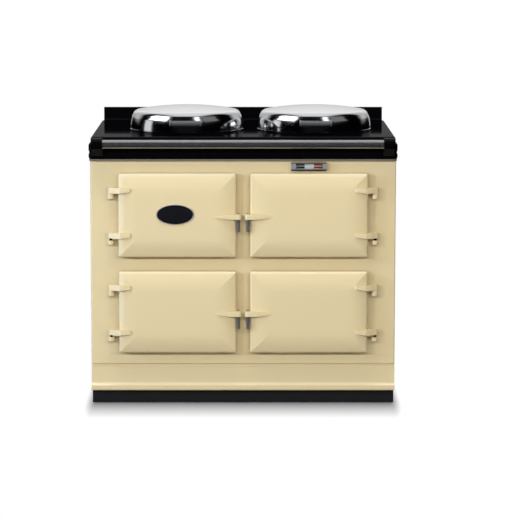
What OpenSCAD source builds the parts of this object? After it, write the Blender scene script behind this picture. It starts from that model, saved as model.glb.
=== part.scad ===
// Heat-storage range cooker: a cast front with four lift-off doors, two round hotplates
// under hinged insulated lids, a hand rail and a recessed plinth.
// Millimetres. +Z is up, the front faces -Y, and the origin is on the floor under the middle.

/* [Overall] */
// Width over the front plate
body_w = 978; // [940:1:1040]
// Width of the top plate
top_w = 987; // [985:1:1060]
// Depth from the front of the hand rail to the back of the top plate
overall_d = 698; // [680:1:760]
// Height of the hob surface above the floor
hob_h = 865; // [860:1:900]
// Gap between the back panel and the back edge of the top plate
rear_gap = 24; // [15:1:40]

/* [Base] */
// Height of the black plinth
plinth_h = 45; // [35:1:55]
// Distance that the plinth stands back from the front plate
plinth_setback = 15; // [8:1:40]
// Thickness of the plinth's sheet
plinth_wall = 3; // [2:0.5:5]
// Thickness of the base plate
base_t = 12; // [8:1:20]
// Height of the enamelled skirt over the plinth
skirt_h = 86; // [80:1:95]
// How far the foot of the skirt flares forward
skirt_flare = 12; // [6:1:16]

/* [Casing] */
// Thickness of the cast front plate
front_t = 12; // [10:1:16]
// Radius on the upright edges of the front plate
front_edge_r = 5; // [3:1:8]
// Thickness of the side panels
side_t = 4; // [2:0.5:6]
// Inset of the side panels from the front plate's edge
side_inset = 2; // [1:0.5:4]
// Thickness of the back panel
back_t = 2; // [1.5:0.5:4]

/* [Top plate] */
// Height of the top plate's moulded edge
top_edge_h = 77; // [70:1:82]
// Thickness of the top plate's deck
top_deck_t = 12; // [9:1:16]
// Thickness of the top plate's skirt
top_skirt_t = 9; // [7:0.5:12]
// Distance that the upper roll of the edge stands back from the lower one
top_step = 6.5; // [3:0.5:9]
// Plan radius of the top plate's corners
top_corner_r = 18; // [10:1:30]
// Overhang of the top plate in front of the front plate
top_lip = 10; // [6:1:16]
// Width of the upstand along the back
upstand_w = 955; // [900:1:970]
// Height of the upstand
upstand_h = 46; // [30:1:60]
// Thickness of the upstand
upstand_t = 20; // [12:1:28]

/* [Hand rail] */
// Diameter of the hand rail
rail_d = 27; // [20:1:32]
// Clear gap between the rail and the top plate
rail_gap = 28; // [22:1:36]
// Distance of the rail's axis below the hob surface
rail_drop = 19; // [16:1:26]
// Width of each rail bracket
rail_bracket_w = 36; // [24:1:44]

/* [Doors] */
// Width of each door
door_w = 376; // [360:1:384]
// Height of the upper doors
upper_door_h = 269; // [255:1:272]
// Height of the lower doors
lower_door_h = 263; // [250:1:268]
// Distance of the doors' middle lines from the centre line
door_cx = 210; // [206:1:216]
// Height of the middle of the upper doors
upper_door_z = 617; // [612:1:619]
// Height of the middle of the lower doors
lower_door_z = 304; // [300:1:308]
// Full depth of a door at its crown
door_depth = 48; // [42:1:56]
// Width of the sloping shoulder round the crown
door_shoulder = 62; // [45:1:80]
// Fall of the shoulder from the crown to the door's edge
door_fall = 14; // [8:1:18]
// Radius between the door's side and its shoulder
door_edge_r = 9; // [5:1:12]
// Corner radius of a door seen from the front
door_corner_r = 7; // [4:1:14]
// Wall of the door casting
door_wall = 8; // [6:0.5:10]
// Running gap between a door and the front plate
door_gap = 1; // [0.8:0.1:2]
// Overlap of a door over its opening
door_lap = 16.5; // [14:0.5:20]

/* [Door furniture] */
// Distance of the hinge line outside the door's edge
hinge_out = 24; // [20:1:28]
// Distance of the hinge line in front of the front plate
hinge_stand = 25; // [22:1:28]
// Height of the upper hinge arm above the door's middle
hinge_hi = 80; // [70:1:90]
// Depth of the lower hinge arm below the door's middle
hinge_lo = 65; // [55:1:80]
// Height of a hinge arm
hinge_arm_h = 18; // [14:1:22]
// Diameter of the hinge pins
hinge_pin_d = 8; // [6:0.5:9]
// Radial running clearance of pins in their bores
run_gap = 0.08; // [0.04:0.01:0.1]
// Height of a hinge bracket
bracket_h = 17; // [14:1:20]
// Diameter of a door's coiled grip
grip_d = 12.7; // [11:0.1:14]
// Length of a door's coiled grip
grip_len = 38; // [36:1:44]
// Wire diameter of the door grips
grip_wire = 2.6; // [2:0.1:2.7]
// Turns of wire in a door grip
grip_turns = 11; // [8:1:11]
// Width of the oval badge
badge_w = 122; // [90:1:130]
// Height of the oval badge
badge_h = 65; // [45:1:70]

/* [Hotplates and lids] */
// Distance between the hotplates' centres
plate_spacing = 420; // [410:1:430]
// Sideways offset of the pair of hotplates
plate_offset = 24.4; // [0:0.2:30]
// Distance of the hotplates' centres in front of the top plate's middle
plate_forward = 29.25; // [20:0.25:40]
// Diameter of a hotplate
hotplate_d = 336; // [320:1:340]
// Thickness of a hotplate
hotplate_t = 50; // [40:1:60]
// Height of a hotplate above the hob surface
hotplate_rise = 8; // [5:0.5:9]
// Diameter of a lid at its foot
lid_d = 374; // [366:1:380]
// Height of a lid
lid_h = 78; // [70:1:84]
// Inward taper of the lid's wall
lid_taper = 12; // [6:0.5:14]
// Radius of the lid's shoulder
lid_shoulder_r = 22; // [15:1:28]
// Radius of the lid's crown
lid_crown_r = 950; // [900:10:1400]
// Sheet thickness of the lid's dome
lid_wall = 2.5; // [2:0.1:4]
// Distance of the lid's pivot behind its rim
lid_pivot_out = 49; // [45:1:60]
// Height of the lid's pivot above the hob surface
lid_pivot_z = 25; // [22:1:30]
// Diameter of a lid's coiled grip
lid_grip_d = 18; // [16:0.2:20]
// Length of a lid's coiled grip
lid_grip_len = 90; // [86:1:110]
// Wire diameter of the lid grips
lid_grip_wire = 3.2; // [2.5:0.1:3.4]
// Turns of wire in a lid grip
lid_grip_turns = 22; // [18:1:24]
// Finger room between a lid and its grip
lid_grip_room = 16; // [12:1:22]

/* [Ovens] */
// Depth of an oven
oven_depth = 480; // [420:1:485]
// Wall thickness of an oven casting
oven_wall = 8; // [6:0.5:10]
// Reach of the shelf runners into an oven
runner_reach = 8; // [6:0.5:12]
// Thickness of the shelf runners
runner_t = 6; // [4:0.5:8]
// Diameter of a shelf's wires
shelf_wire = 6; // [5:0.5:8]
// Depth of the control recess behind the front plate
control_depth = 66; // [60:1:90]

/* [Heat indicator] */
// Width of the indicator case
indicator_w = 114; // [100:1:120]
// Height of the indicator case
indicator_h = 26; // [24:1:30]
// Depth of the indicator case
indicator_depth = 18; // [16:1:22]

/* [Hidden] */
$fn = 96;

// Finishes
enamel_cream = [0.86, 0.79, 0.62];
enamel_black = [0.03, 0.03, 0.035];
plinth_black = [0.11, 0.11, 0.11];
chrome = [0.82, 0.83, 0.84];
ground_iron = [0.36, 0.36, 0.37];
raw_iron = [0.22, 0.22, 0.23];
galvanised = [0.62, 0.64, 0.66];
mineral_wool = [0.78, 0.72, 0.5];
rope_grey = [0.5, 0.48, 0.44];

// Named small clearances
seat = 0.3;        // pieces that seat on one another without touching
touch = 0.05;      // fixed pins in their holes
eps = 1;           // overshoot of a cutting tool

// Planes of the casing
half_d = overall_d / 2;
rail_wall = 4.5;
rail_y = -half_d + rail_wall + rail_d / 2;
top_front_y = rail_y + rail_d / 2 + rail_gap;
face_y = top_front_y + top_lip;
inner_front_y = face_y + front_t;
back_y = half_d - rear_gap;
top_under_z = hob_h - top_edge_h;
skirt_top_z = plinth_h + skirt_h;
panel_x = body_w / 2 - side_inset;
inner_x = panel_x - side_t;
inner_back_y = back_y - back_t;
base_top_z = plinth_h + base_t;

// Width of the plinth's flange under the base plate
plinth_flange = 40;

// Openings behind the doors
mouth_w = door_w - 2 * door_lap;
mouth_r = 16;
seal_w = 6;
seal_off = 3;
seal_sink = 4;

// Hinges and catches, measured from a door's middle on the front plate's face
hinge_x = door_w / 2 + hinge_out;
arm_end_r = 10;
grip_x = door_w / 2 + 7;
grip_t = 46;

// Hotplates
plate_y = (top_front_y + half_d) / 2 - plate_forward;
boiling_x = plate_offset - plate_spacing / 2;
simmering_x = plate_offset + plate_spacing / 2;
pivot_y = plate_y + lid_d / 2 + lid_pivot_out;
pivot_z = hob_h + lid_pivot_z;
liner_z = hotplate_rise + 3;
core_r = 140;

// Heat indicator
indicator_x = door_cx;
indicator_z = (top_under_z + upper_door_z + upper_door_h / 2) / 2 + 0.5;
window_w = 90;
window_h = 19;
window_rise = 2;

// Door shells and liners
rim_t = 6;
liner_t = 2.5;
plug_t = 10;
plug_gap = 5;

// Heat core and elements
core_foot_z = lower_door_z + lower_door_h / 2 + 24;
bridge_t = 40;
element_r = 7;
element_in = 100;
element_out = 20;
element_z = [core_foot_z + 90, core_foot_z + 170, core_foot_z + 250];

// Controls on the fascia of the control box
knob_x = -75;
knob_bore = 8;
switch_x = 80;

// Fittings on the back panel
vent_d = 35;
vent_x = simmering_x + 60;
vent_z = upper_door_z + 60;
gland_d = 20;
gland_x = boiling_x - 120;
gland_z = plinth_h + 60;

// Air slots in the back panel and air holes in the base plate
louvre_w = 120;
louvre_x = panel_x * 0.42;
louvre_z = plinth_h + 45;
louvre_rows = 6;
air_hole_r = 12;

// Catches, washers and lids
catch_z = -3;
washer_h = 7.2;
lid_gap = 1;
lid_barrel = 56;
lid_pin_d = 10;
lid_grip_z = 36;

function door_z(row) = row > 0 ? upper_door_z : lower_door_z;
function door_h(row) = row > 0 ? upper_door_h : lower_door_h;
function mouth_h(row) = door_h(row) - 2 * door_lap;

// Rounded rectangle centred on the origin
module rounded(w, h, r) {
    union() {
        square([w - 2 * r, h], center = true);
        square([w, h - 2 * r], center = true);
        for (x = [-1, 1], y = [-1, 1])
            translate([x * (w / 2 - r), y * (h / 2 - r)]) circle(r);
    }
}

// Slab in the XZ plane from depth t0 to t1 in front of the front plate's face
module front_slab(t0, t1) {
    translate([0, -t0, 0]) rotate([90, 0, 0]) linear_extrude(t1 - t0) children();
}

// Section of a cushion-shaped casting: flat crown, arched shoulders and rounded edges
module pillow_section(w, crown, shoulder, fall, r, base) {
    arch = (shoulder * shoulder + fall * fall) / (2 * fall);
    x_arch = w / 2 - shoulder;
    t_arch = crown - arch;
    t_edge = t_arch + sqrt(pow(arch - r, 2) - pow(shoulder - r, 2));
    x_blend = x_arch + arch * (shoulder - r) / (arch - r);
    union() {
        translate([-x_arch, base]) square([2 * x_arch, crown - base]);
        translate([-w / 2, base]) square([w, t_edge - base]);
        for (s = [-1, 1]) {
            translate([s * (w / 2 - r), t_edge]) circle(r);
            intersection() {
                translate([s * x_arch, t_arch]) circle(arch, $fn = 360);
                translate([s > 0 ? 0 : -x_blend, base]) square([x_blend, crown - base]);
            }
        }
    }
}

// Cushion-shaped block standing out of the front plate's face
module pillow(w, h, crown, shoulder, fall, r, corner, base) {
    intersection() {
        front_slab(base, crown + eps) rounded(w, h, corner);
        translate([0, 0, -h]) linear_extrude(2 * h) mirror([0, 1])
            pillow_section(w, crown, shoulder, fall, r, base);
        translate([-w, 0, 0]) rotate([90, 0, 90]) linear_extrude(2 * w)
            rotate(90) pillow_section(h, crown, shoulder, fall, r, base);
    }
}

// Puts a left-hand door's piece in place, mirrored for the right-hand column
module at_door(col, row) {
    translate([col * door_cx, face_y, door_z(row)]) mirror([col > 0 ? 1 : 0, 0, 0]) children();
}

// Body of revolution about an upright line
module turned(x, y, z) {
    translate([x, y, z]) rotate_extrude($fn = 180) children();
}

// Points of a coil's centre line, eight to a turn
function coil_path(r, pitch, turns) =
    [for (i = [0 : 8 * turns]) [r * cos(45 * i), r * sin(45 * i), pitch * i / 8]];

// Least clear gap between one turn of a coil and the next
function coil_gap(path, wire) =
    min([for (i = [0 : len(path) - 6]) for (j = [i + 5 : min(i + 11, len(path) - 1)])
        norm(path[i] - path[j])]) - wire;

// Diameter of the spindle that runs clear inside a coil
function spindle_d(d, wire) = (d - wire) * cos(180 / 8) - wire - 2 * seat;

// One unbroken wire along a coil's centre line, with six sides
module coil(r, pitch, turns, wire) {
    path = coil_path(r, pitch, turns);
    n = len(path);
    sides = 6;
    slope = atan2(pitch, 2 * PI * r);
    points = [for (i = [0 : n - 1]) for (k = [0 : sides - 1])
        let (a = 45 * i, b = 360 * k / sides, out = [cos(a), sin(a), 0],
            up = [sin(a) * sin(slope), -cos(a) * sin(slope), cos(slope)])
        path[i] + wire / 2 * (cos(b) * out + sin(b) * up)];
    ring = function (i, k) i * sides + k % sides;
    walls = [for (i = [0 : n - 2]) for (k = [0 : sides - 1]) for (half = [0, 1])
        half == 0 ? [ring(i, k), ring(i + 1, k + 1), ring(i + 1, k)]
                  : [ring(i, k), ring(i, k + 1), ring(i + 1, k + 1)]];
    caps = [for (k = [1 : sides - 2]) for (end = [0, 1])
        end == 0 ? [ring(0, 0), ring(0, k + 1), ring(0, k)]
                 : [ring(n - 1, 0), ring(n - 1, k), ring(n - 1, k + 1)]];
    polyhedron(points, concat(walls, caps), convexity = 10);
    echo(least_coil_gap = coil_gap(path, wire));
}

// Sheet-metal plinth: a four-sided frame with a folded flange for the base plate
module base_plinth() {
    foot_y = face_y + plinth_setback;
    foot_d = back_y - foot_y;
    fold = plinth_flange;
    color(plinth_black) difference() {
        translate([-panel_x, foot_y, 0]) cube([2 * panel_x, foot_d, plinth_h]);
        translate([-panel_x + plinth_wall, foot_y + plinth_wall, -eps])
            cube([2 * (panel_x - plinth_wall), foot_d - 2 * plinth_wall, plinth_h - plinth_wall + eps]);
        translate([-panel_x + fold, foot_y + fold, plinth_h - plinth_wall - eps])
            cube([2 * (panel_x - fold), foot_d - 2 * fold, plinth_wall + 2 * eps]);
    }
}

// Base plate that carries the ovens and the heat core
module base_plate() {
    depth = inner_back_y - inner_front_y;
    mid_y = inner_front_y + depth / 2;
    color(raw_iron) difference() {
        translate([-inner_x, inner_front_y, plinth_h]) cube([2 * inner_x, depth, base_t]);
        for (x = [-3 : 2 : 3], y = [-1, 1])
            translate([x * inner_x / 4, mid_y + y * depth * 0.3, plinth_h - eps])
                cylinder(r = air_hole_r, h = base_t + 2 * eps);
    }
}

// Enamelled skirt: recessed cove, flat band, forward flare and foot band
module lower_skirt() {
    band_y = face_y;
    cove = 6;
    flare_z = plinth_h + 24;
    color(enamel_cream) translate([-body_w / 2, 0, 0]) rotate([90, 0, 90])
    linear_extrude(body_w) difference() {
        union() {
            translate([band_y, plinth_h]) square([front_t, skirt_h]);
            translate([band_y - skirt_flare, plinth_h + 5]) square([skirt_flare + eps, 10]);
            translate([band_y - skirt_flare + 2, plinth_h]) square([skirt_flare, 8]);
            translate([band_y - skirt_flare, plinth_h + 15]) square([skirt_flare + eps, skirt_flare]);
            translate([band_y - skirt_flare + 5, plinth_h + 5]) circle(5);
        }
        translate([band_y - skirt_flare, plinth_h + 15 + skirt_flare]) circle(skirt_flare);
        translate([band_y - eps, skirt_top_z - 12]) square([cove + eps, 12 + eps]);
        translate([band_y + front_t, plinth_h - eps]) square([skirt_flare, skirt_h + 2 * eps]);
    }
}

// Cast front plate with four mouths and a rope groove round each
module front_plate() {
    color(enamel_cream) difference() {
        translate([0, 0, skirt_top_z]) linear_extrude(top_under_z - skirt_top_z) union() {
            translate([-body_w / 2, face_y + front_edge_r]) square([body_w, front_t - front_edge_r]);
            translate([-body_w / 2 + front_edge_r, face_y]) square([body_w - 2 * front_edge_r, front_t]);
            for (s = [-1, 1])
                translate([s * (body_w / 2 - front_edge_r), face_y + front_edge_r]) circle(front_edge_r);
        }
        for (col = [-1, 1], row = [0, 1]) at_door(col, row) {
            front_slab(-front_t - eps, eps) rounded(mouth_w, mouth_h(row), mouth_r);
            front_slab(-seal_sink, eps) seal_ring(row, 0);
        }
    }
}

// Outline of a rope seal, with clearance c in its groove
module seal_ring(row, c) {
    inner = 2 * (seal_off + c);
    outer = 2 * (seal_off + seal_w - c);
    difference() {
        rounded(mouth_w + outer, mouth_h(row) + outer, mouth_r + outer / 2);
        rounded(mouth_w + inner, mouth_h(row) + inner, mouth_r + inner / 2);
    }
}

module left_side_panel() { side_panel(-1); }
module right_side_panel() { side_panel(1); }

// Flat side panel between the front plate and the back panel
module side_panel(side) {
    depth = inner_back_y - inner_front_y;
    color(enamel_cream) mirror([side < 0 ? 1 : 0, 0, 0])
        translate([inner_x, inner_front_y, plinth_h]) cube([side_t, depth, top_under_z - plinth_h]);
}

// Galvanised back panel with holes for the vent and the supply
module back_panel() {
    color(galvanised) difference() {
        translate([-panel_x, inner_back_y, plinth_h]) cube([2 * panel_x, back_t, top_under_z - plinth_h]);
        for (p = [[vent_x, vent_z, vent_d], [gland_x, gland_z, gland_d]])
            translate([p[0], back_y + eps, p[1]]) rotate([90, 0, 0])
                cylinder(d = p[2] + 2 * seat, h = back_t + 2 * eps);
        for (row = [0 : louvre_rows - 1], s = [-1, 1])
            translate([s * louvre_x - louvre_w / 2, inner_back_y - eps, louvre_z + 14 * row])
                cube([louvre_w, back_t + 2 * eps, 5]);
    }
}

// Sweeps a profile round a rounded rectangle: x is measured out from the corner centres
module swept_edge(w, d, r) {
    for (s = [0, 1]) rotate(180 * s) {
        translate([-w / 2 + r, -d / 2 + r, 0]) rotate([90, 0, 90]) linear_extrude(w - 2 * r)
            mirror([1, 0]) children();
        translate([w / 2 - r, -d / 2 + r, 0]) rotate([90, 0, 0]) mirror([0, 0, 1])
            linear_extrude(d - 2 * r) children();
        translate([w / 2 - r, -d / 2 + r, 0]) rotate(-90) rotate_extrude(angle = 90) children();
        translate([-w / 2 + r, -d / 2 + r, 0]) rotate(180) rotate_extrude(angle = 90) children();
    }
}

// Moulded edge of the top plate, in section
module top_edge_section() {
    roll = 8;
    nose_z = hob_h - 21;
    inner = top_corner_r - top_skirt_t;
    intersection() {
        translate([0, top_under_z]) square([top_corner_r, top_edge_h]);
        difference() {
            union() {
                translate([0, hob_h - top_deck_t]) square([top_corner_r - top_step - roll, top_deck_t]);
                translate([0, nose_z]) square([top_corner_r - top_step, hob_h - roll - nose_z]);
                translate([top_corner_r - top_step - roll, hob_h - roll]) circle(roll);
                translate([0, top_under_z]) square([top_corner_r, nose_z - top_step - top_under_z]);
                translate([0, nose_z - top_step]) square([top_corner_r - top_step, top_step]);
                translate([top_corner_r - top_step, nose_z - top_step]) circle(top_step);
            }
            translate([-eps, top_under_z - eps]) square([inner + eps, top_edge_h - top_deck_t + eps]);
            translate([top_corner_r + 8, top_under_z + 27]) circle(10);
            translate([top_corner_r - 2, top_under_z - eps]) square([2 + eps, 10 + eps]);
        }
    }
}

// Black enamelled casting: deck, moulded edge and a flange that rests on the casing
module top_plate() {
    flange_w = rear_gap + back_t;
    depth = half_d - top_front_y;
    mid_y = (half_d + top_front_y) / 2;
    inset = top_step + 8;
    color(enamel_black) difference() {
        union() {
            translate([0, mid_y, 0]) swept_edge(top_w, depth, top_corner_r) top_edge_section();
            translate([0, mid_y, hob_h - top_deck_t]) linear_extrude(top_deck_t)
                square([top_w - 2 * top_corner_r, depth - 2 * top_corner_r], center = true);
            translate([0, mid_y, top_under_z]) linear_extrude(8) difference() {
                rounded(top_w - 2 * top_skirt_t, depth - 2 * top_skirt_t, top_corner_r - top_skirt_t + 1);
                square([top_w - 2 * flange_w, depth - 2 * flange_w], center = true);
            }
        }
        for (x = [boiling_x, simmering_x])
            translate([x, plate_y, hob_h - top_deck_t - eps])
                cylinder(d = hotplate_d + 2 * seat, h = top_deck_t + 2 * eps, $fn = 180);
    }
}

// Upstand along the back of the hob with a coved foot
module rear_upstand() {
    back = half_d - top_step - 3;
    foot = 14;
    nose = 5;
    color(enamel_black) translate([-upstand_w / 2, 0, 0]) rotate([90, 0, 90])
    linear_extrude(upstand_w) difference() {
        union() {
            translate([back - upstand_t, hob_h]) square([upstand_t, upstand_h - nose]);
            translate([back - upstand_t + nose, hob_h]) square([upstand_t - 2 * nose, upstand_h]);
            for (y = [back - nose, back - upstand_t + nose])
                translate([y, hob_h + upstand_h - nose]) circle(nose);
            translate([back - upstand_t - foot, hob_h]) square([foot + eps, foot]);
        }
        translate([back - upstand_t - foot, hob_h + foot]) circle(foot - 1);
    }
}

// Tubular rail across the front
module hand_rail() {
    reach = top_w / 2 - 47.5 + 22;
    color(chrome) translate([-reach, rail_y, hob_h - rail_drop]) rotate([0, 90, 0]) difference() {
        cylinder(d = rail_d, h = 2 * reach);
        translate([0, 0, -eps]) cylinder(d = rail_d - 5, h = 2 * reach + 2 * eps);
    }
}

// Black cast brackets that hold the rail's ends off the top plate
module hand_rail_brackets() {
    zc = hob_h - rail_drop;
    r = rail_d / 2 + rail_wall;
    x0 = top_w / 2 - 47.5;
    toe = top_under_z + 15;
    color(enamel_black) for (s = [0, 1]) mirror([s, 0, 0]) difference() {
        translate([x0, 0, 0]) rotate([90, 0, 90]) linear_extrude(rail_bracket_w) union() {
            translate([rail_y, zc]) circle(r);
            polygon([[rail_y, zc + r], [rail_y, zc - r], [top_front_y - 9, toe + 2], [top_front_y, toe],
                [top_front_y, hob_h - 27], [top_front_y - 6, zc + r - 4], [top_front_y - 16, zc + r]]);
        }
        translate([x0 - eps, rail_y, zc]) rotate([0, 90, 0])
            cylinder(d = rail_d + 2 * touch, h = 22 + eps + touch);
    }
}

// Hotplate: a thick ground disc with a stepped underside
module hotplate(x) {
    r = hotplate_d / 2;
    top = hob_h + hotplate_rise;
    color(ground_iron) turned(x, plate_y, top - hotplate_t) polygon([[0, 0], [r - 12, 0], [r - 12, 8],
        [r, 12], [r, hotplate_t - 3], [r - 3, hotplate_t], [0, hotplate_t]]);
}

module boiling_plate() { hotplate(boiling_x); }
module simmering_plate() { hotplate(simmering_x); }

// Cast core that stores heat, with a bridge to the simmering plate
module heat_core() {
    top = hob_h + hotplate_rise - hotplate_t;
    color(raw_iron) difference() {
        union() {
            translate([boiling_x, plate_y, core_foot_z]) cylinder(r = core_r, h = top - core_foot_z);
            translate([boiling_x, plate_y - 70, top - bridge_t]) cube([plate_spacing + 90, 140, bridge_t]);
        }
        for (z = element_z) translate([boiling_x, plate_y + element_in, z]) rotate([90, 0, 0])
            cylinder(r = element_r + touch, h = core_r + element_in + eps);
    }
}

// Three rod elements that enter the core from the front
module heating_elements() {
    to_face = element_in - eps + core_r;
    color(galvanised) for (z = element_z)
        translate([boiling_x, plate_y + element_in - eps, z]) rotate([90, 0, 0]) {
            cylinder(r = element_r, h = to_face + element_out);
            translate([0, 0, to_face + 2]) cylinder(r = element_r + 5, h = 6);
        }
}

module roasting_oven() { oven(1, 1); }
module baking_oven() { oven(1, 0); }
module simmering_oven() { oven(-1, 0); }

// Cast oven, open at the front, with shelf runners on both sides
module oven(col, row) {
    w = mouth_w;
    h = mouth_h(row);
    color(raw_iron) at_door(col, row) {
        difference() {
            front_slab(-front_t - oven_depth - oven_wall, -front_t)
                rounded(w + 2 * oven_wall, h + 2 * oven_wall, mouth_r + oven_wall);
            front_slab(-front_t - oven_depth, -front_t + eps) rounded(w, h, mouth_r);
        }
        for (s = [-1, 1], z = runner_levels(row))
            translate([s > 0 ? w / 2 - runner_reach : -w / 2 - eps, front_t + 12, z - runner_t])
                cube([runner_reach + eps, oven_depth - 24, runner_t]);
    }
}

// Wire shelves, one in each oven, resting on the lowest runners
module oven_shelves() {
    r = shelf_wire / 2;
    half = mouth_w / 2 - 2;
    depth = oven_depth - 30;
    bars = 11;
    color(chrome) for (p = [[1, 1], [1, 0], [-1, 0]])
        at_door(p[0], p[1]) translate([0, front_t + 15, runner_levels(p[1])[0] + seat + r]) {
            for (s = [-1, 1]) {
                translate([s * (half - r), 0, 0]) rotate([-90, 0, 0]) cylinder(r = r, h = depth);
                translate([-half, s > 0 ? depth - r : r, 0]) rotate([0, 90, 0]) cylinder(r = r, h = 2 * half);
            }
            for (i = [1 : bars])
                translate([-half + 2 * half * i / (bars + 1), r, r / 2]) rotate([-90, 0, 0])
                    cylinder(r = r / 2, h = depth - 2 * r, $fn = 24);
        }
}

// Heights of the shelf runners above a door's middle line
function runner_levels(row) = [-mouth_h(row) / 2 + 48, -mouth_h(row) / 2 + 128];

// Mineral wool packed round the ovens and the core, in a lower and an upper slab
module insulation_slabs() {
    fit = 0.5;
    depth = inner_back_y - inner_front_y - 2 * fit;
    plate_z = hob_h + hotplate_rise - hotplate_t;
    color(mineral_wool) difference() {
        union() {
            translate([-inner_x + fit, inner_front_y + fit, base_top_z])
                cube([2 * (inner_x - fit), depth, core_foot_z - base_top_z]);
            translate([-inner_x + fit, inner_front_y + fit, core_foot_z + fit])
                cube([2 * (inner_x - fit), depth, top_under_z - core_foot_z - 2 * fit]);
        }
        for (p = [[1, 1], [1, 0], [-1, 0]]) at_door(p[0], p[1])
            front_slab(-front_t - oven_depth - oven_wall - fit, 0)
                rounded(mouth_w + 2 * (oven_wall + fit), mouth_h(p[1]) + 2 * (oven_wall + fit),
                    mouth_r + oven_wall);
        at_door(-1, 1) front_slab(-front_t - control_depth - 22, 0)
            rounded(mouth_w + 2 * 16, mouth_h(1) + 2 * 16, mouth_r);
        translate([boiling_x, plate_y, core_foot_z]) cylinder(r = core_r + fit, h = hob_h - core_foot_z);
        translate([boiling_x, plate_y - 70 - fit, plate_z - bridge_t - fit])
            cube([plate_spacing + 90 + fit, 140 + 2 * fit, bridge_t + 60]);
        for (z = element_z) translate([boiling_x, plate_y, z]) rotate([90, 0, 0])
            cylinder(r = element_r + 6, h = core_r + 60);
        for (p = [[vent_x, vent_z, vent_d], [gland_x, gland_z, gland_d]])
            translate([p[0], back_y, p[1]]) rotate([90, 0, 0]) cylinder(d = p[2] + 2 * fit, h = back_t + 10);
    }
}

// Rope seals in the front plate's grooves
module oven_door_seals() {
    color(rope_grey) for (col = [-1, 1], row = [0, 1])
        at_door(col, row) front_slab(-seal_sink, door_gap - seat) seal_ring(row, seat);
}

// Sheet box behind the upper left door, with its fascia, knob spindle and switch bezel
module control_box() {
    t = 2;
    w = mouth_w;
    h = mouth_h(1);
    back = -front_t - control_depth;
    color(galvanised) at_door(-1, 1) difference() {
        union() {
            front_slab(back - t, -front_t) rounded(w + 2 * t, h + 2 * t, mouth_r + t);
            front_slab(-front_t - t, -front_t) rounded(w + 30, h + 30, mouth_r + t);
        }
        difference() {
            front_slab(back, eps) rounded(w, h, mouth_r);
            front_slab(back - eps, back + 4) translate([switch_x, 0]) rounded(36, 50, 4);
            front_slab(back - eps, back + 3) translate([knob_x, 0]) circle(10);
            front_slab(back - eps, back + 22) translate([knob_x, 0]) circle(knob_bore / 2);
        }
        front_slab(back - t - eps, back + 5) translate([switch_x, 0]) square([22.6, 32.6], center = true);
    }
}

// Thermostat knob with a grip bar and a skirt
module thermostat_knob() {
    back = -front_t - control_depth;
    color([0.1, 0.1, 0.1]) at_door(-1, 1) difference() {
        union() {
            front_slab(back + 3 + seat, back + 8) translate([knob_x, 0]) circle(24);
            front_slab(back + 8, back + 26) translate([knob_x, 0]) intersection() {
                circle(19);
                union() {
                    square([11, 60], center = true);
                    circle(13);
                }
            }
        }
        front_slab(back, back + 23) translate([knob_x, 0]) circle(knob_bore / 2 + run_gap);
    }
}

// Rocker of the power switch, a shallow vee that tips between the cheeks of its bezel
module power_switch() {
    back = -front_t - control_depth;
    color([0.75, 0.1, 0.08]) at_door(-1, 1) translate([switch_x, 0, 0]) intersection() {
        front_slab(back - 8, back + 12) square([21.6, 31.2], center = true);
        translate([-20, 0, 0]) rotate([90, 0, 90]) linear_extrude(40) rotate(90) difference() {
            translate([0, back - 2]) circle(16);
            polygon([[-20, back + 12], [-15, back + 5.5], [0, back + 3], [15, back + 9], [20, back + 12],
                [0, back + 30]]);
        }
    }
}

// Chromed case of the heat indicator, with a bevelled window
module heat_indicator_case() {
    h = indicator_h / 2;
    color(chrome) difference() {
        translate([indicator_x, face_y, indicator_z]) intersection() {
            front_slab(0, indicator_depth) rounded(indicator_w, indicator_h, 2.5);
            translate([-indicator_w, 0, 0]) rotate([90, 0, 90]) linear_extrude(2 * indicator_w) mirror([1, 0])
                polygon([[-eps, h + eps], [-eps, -h - eps], [indicator_depth - 8, -h - eps],
                    [indicator_depth - 8, -h], [indicator_depth, -h + 5.5], [indicator_depth, h - 1.5],
                    [indicator_depth - 1.5, h + eps]]);
        }
        at_window() {
            front_slab(4, indicator_depth - 5) rounded(window_w, window_h, 0.8);
            front_slab(indicator_depth - 5 - eps, indicator_depth + eps)
                rounded(window_w - 3, window_h - 3, 1.5);
        }
    }
}

module at_window() {
    translate([indicator_x, face_y, indicator_z + window_rise]) children();
}

// Dial plate with three raised zones: warming, ready and too hot
module heat_indicator_dial() {
    zone = window_w / 3;
    color([0.8, 0.8, 0.8]) at_window() union() {
        front_slab(4, 5.5) square([window_w - 2 * seat, window_h - 2 * seat], center = true);
        for (i = [-1, 0, 1]) translate([i * zone, 0, 0])
            front_slab(5, 6 + abs(i) * 0.3) square([zone - 1.5, window_h - 5], center = true);
    }
}

module heat_indicator_glass() {
    color([0.75, 0.85, 0.9, 0.35]) at_window()
        front_slab(indicator_depth - 7.5, indicator_depth - 5 - touch)
            square([window_w - 1, window_h - 1], center = true);
}

// Needle on a small block that slides along the foot of the dial
module heat_indicator_needle() {
    color([0.9, 0.9, 0.9]) at_window() union() {
        front_slab(7.2, 8.2) square([1.6, window_h - 3], center = true);
        front_slab(5.8, 8.2) translate([0, -window_h / 2 + 1.45]) square([8, 1.9], center = true);
    }
}

// Heights of the two hinges of a door: [middle of the arm, gap under the arm, knuckle height]
function hinge_rows() = [[hinge_hi, seat, bracket_h + 1], [-hinge_lo, washer_h + seat, bracket_h - 4.5]];
function knuckle_top(k) = k[0] - hinge_arm_h / 2 - k[1];

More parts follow.
